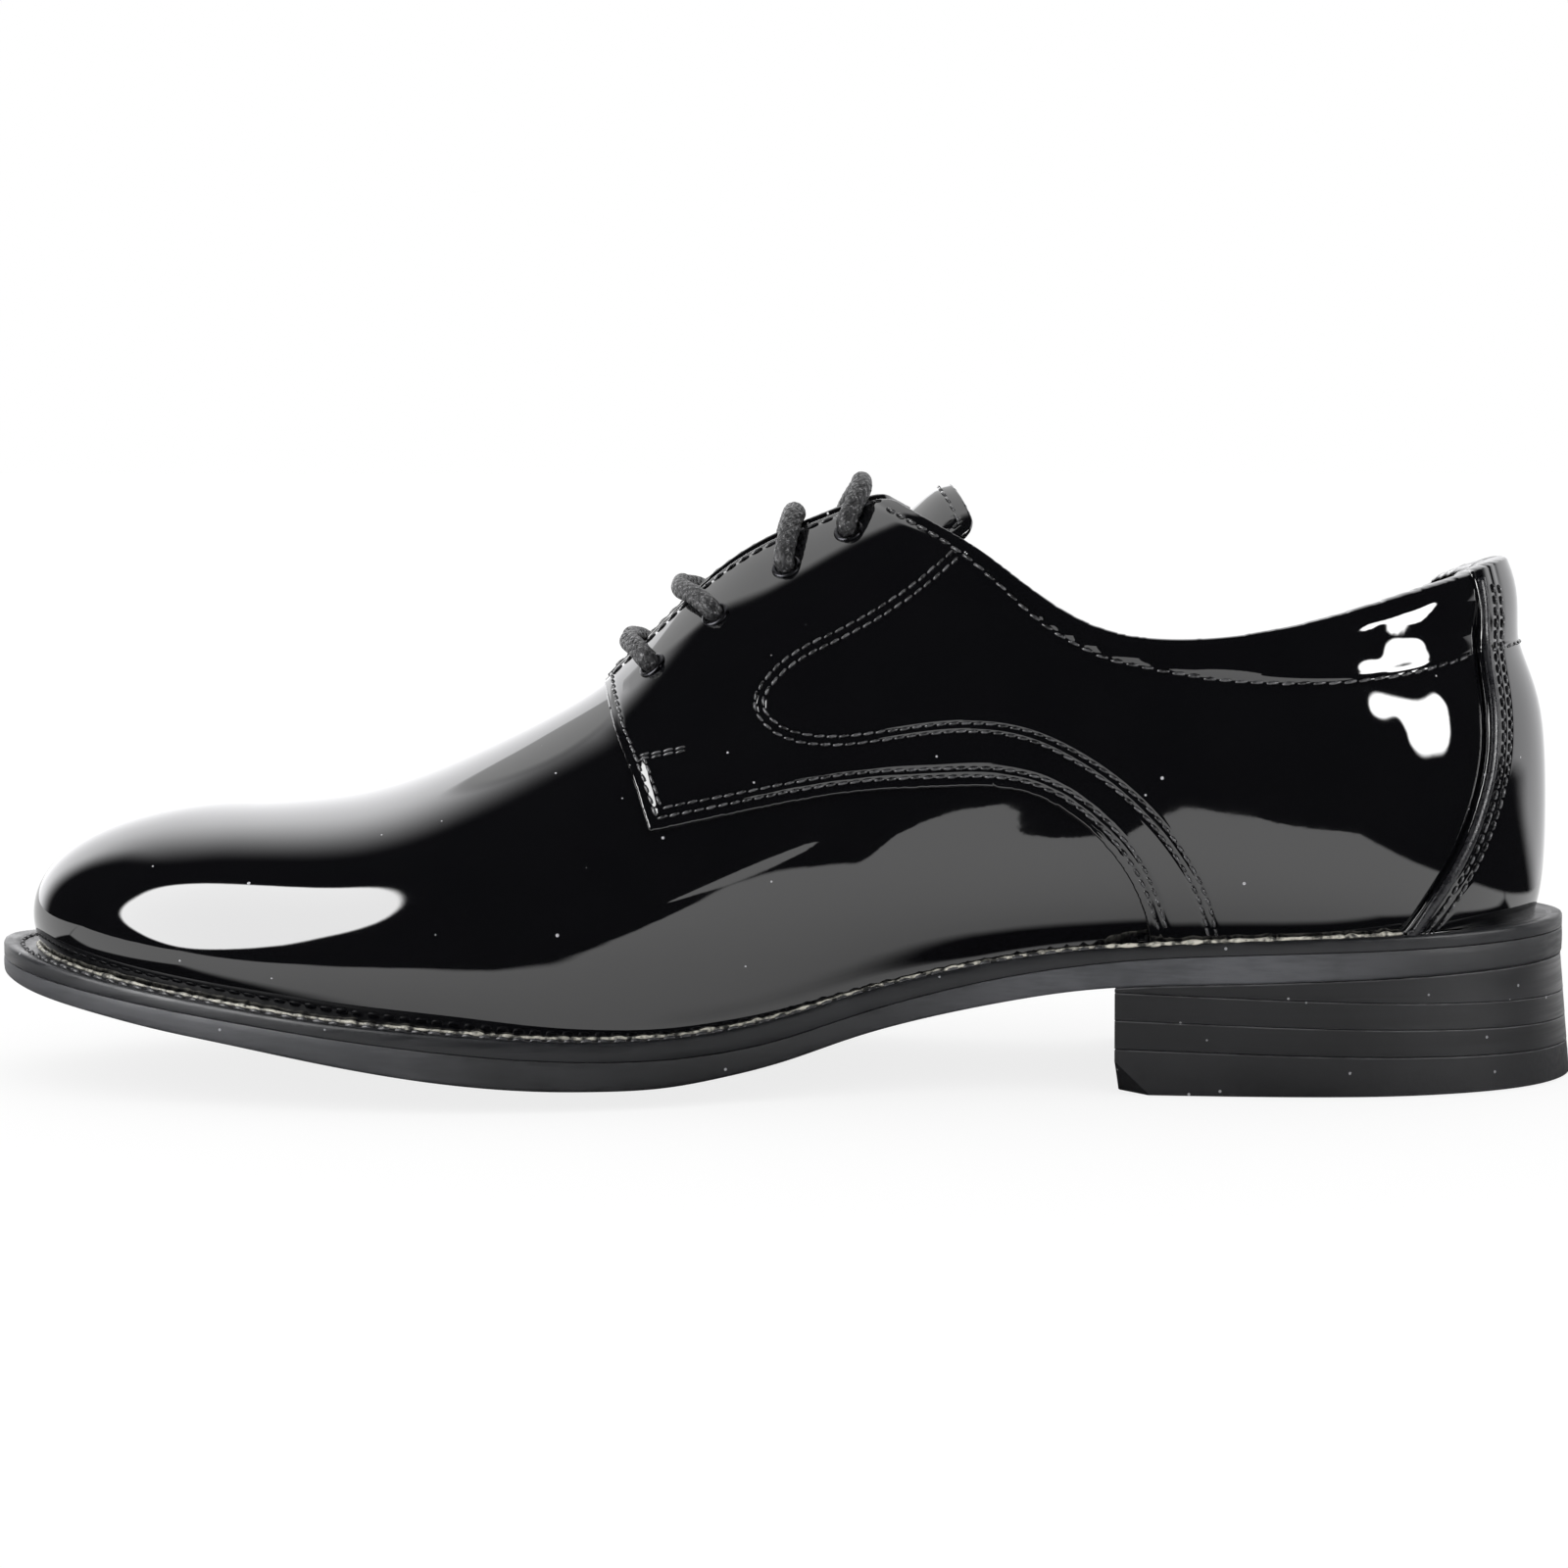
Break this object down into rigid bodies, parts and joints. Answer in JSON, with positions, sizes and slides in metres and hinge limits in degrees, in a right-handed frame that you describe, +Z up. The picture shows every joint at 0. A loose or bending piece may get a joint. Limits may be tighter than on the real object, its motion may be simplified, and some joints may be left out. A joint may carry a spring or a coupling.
{
  "type": "derby shoe",
  "caption": "Plain-toe lace-up derby shoe for the right foot, with stitched welt, stacked heel, laced facings that open, tongue and a sole that bends at the ball.",
  "frame": {"origin": "centre of the bounding box at ground level, under the shoe", "axes": "+X from toe to heel, +Z up, -Y towards the inner (medial) side of this right shoe"},
  "size_m": [0.3044, 0.1052, 0.1138],
  "materials": {
    "patent": "black patent, mirror gloss",
    "lining": "smooth matte lining leather",
    "stiffener": "pressed leatherboard",
    "foam": "soft foam",
    "welt": "satin black edge dressing",
    "outsole": "satin dark grey edge",
    "insole": "vegetable-tanned, uncoated",
    "cork": "ground cork",
    "steel": "plain steel",
    "heel": "semi-gloss black edge dressing",
    "top_piece": "satin rubber",
    "eyelet": "black enamel",
    "lace": "waxed woven cotton",
    "aglet": "gloss black"
  },
  "bodies": {
    "rear": {"outsole": "outsole", "welt": "welt", "bottom_filler": "cork", "shank": "steel", "insole": "insole", "sock_liner": "lining", "heel_lift_1": "heel", "heel_lift_2": "heel", "heel_lift_3": "heel", "top_piece": "top_piece", "heel_nail_1": "steel", "heel_nail_2": "steel", "heel_nail_3": "steel", "heel_nail_4": "steel", "heel_nail_5": "steel", "quarter_medial": "patent", "quarter_lateral": "patent", "back_panel": "patent", "quarter_lining": "lining", "heel_counter": "stiffener", "collar_padding": "foam", "lace": "lace", "aglet_1": "aglet", "aglet_2": "aglet"},
    "forefoot": {"vamp": "patent", "vamp_lining": "lining", "toe_puff": "stiffener"},
    "tongue_flap": {"tongue": "patent", "tongue_lining": "lining"},
    "facing_medial": {"facing_stay_medial": "stiffener", "eyelet_medial_1": "eyelet", "eyelet_medial_2": "eyelet", "eyelet_medial_3": "eyelet", "eyelet_medial_4": "eyelet"},
    "facing_lateral": {"facing_stay_lateral": "stiffener", "eyelet_lateral_1": "eyelet", "eyelet_lateral_2": "eyelet", "eyelet_lateral_3": "eyelet", "eyelet_lateral_4": "eyelet"}
  },
  "joints": [
    {"name": "ball_flex", "type": "hinge", "parent": "rear", "child": "forefoot", "pos_m": [-0.05489, -0.00254, 0.009], "axis": [0, 1, 0], "range_deg": [0, 22], "stiffness_Nm_per_rad": 1.5, "deforming": ["outsole", "welt", "bottom_filler", "insole", "sock_liner", "vamp", "vamp_lining"]},
    {"name": "tongue_tilt", "type": "hinge", "parent": "rear", "child": "tongue_flap", "pos_m": [-0.02471, -0.00254, 0.07723], "axis": [0, 1, 0], "range_deg": [0, 9], "stiffness_Nm_per_rad": 0.1},
    {"name": "facing_medial_open", "type": "hinge", "parent": "rear", "child": "facing_medial", "pos_m": [-0.02289, -0.03533, 0.066], "axis": [0.8325, 0.162, 0.5298], "range_deg": [0, 15], "stiffness_Nm_per_rad": 0.4, "deforming": ["quarter_medial", "quarter_lining", "lace"]},
    {"name": "facing_lateral_open", "type": "hinge", "parent": "rear", "child": "facing_lateral", "pos_m": [-0.02289, 0.03489, 0.066], "axis": [-0.8304, 0.1766, -0.5284], "range_deg": [0, 15], "stiffness_Nm_per_rad": 0.4, "deforming": ["quarter_lateral", "quarter_lining", "lace"]}
  ]
}
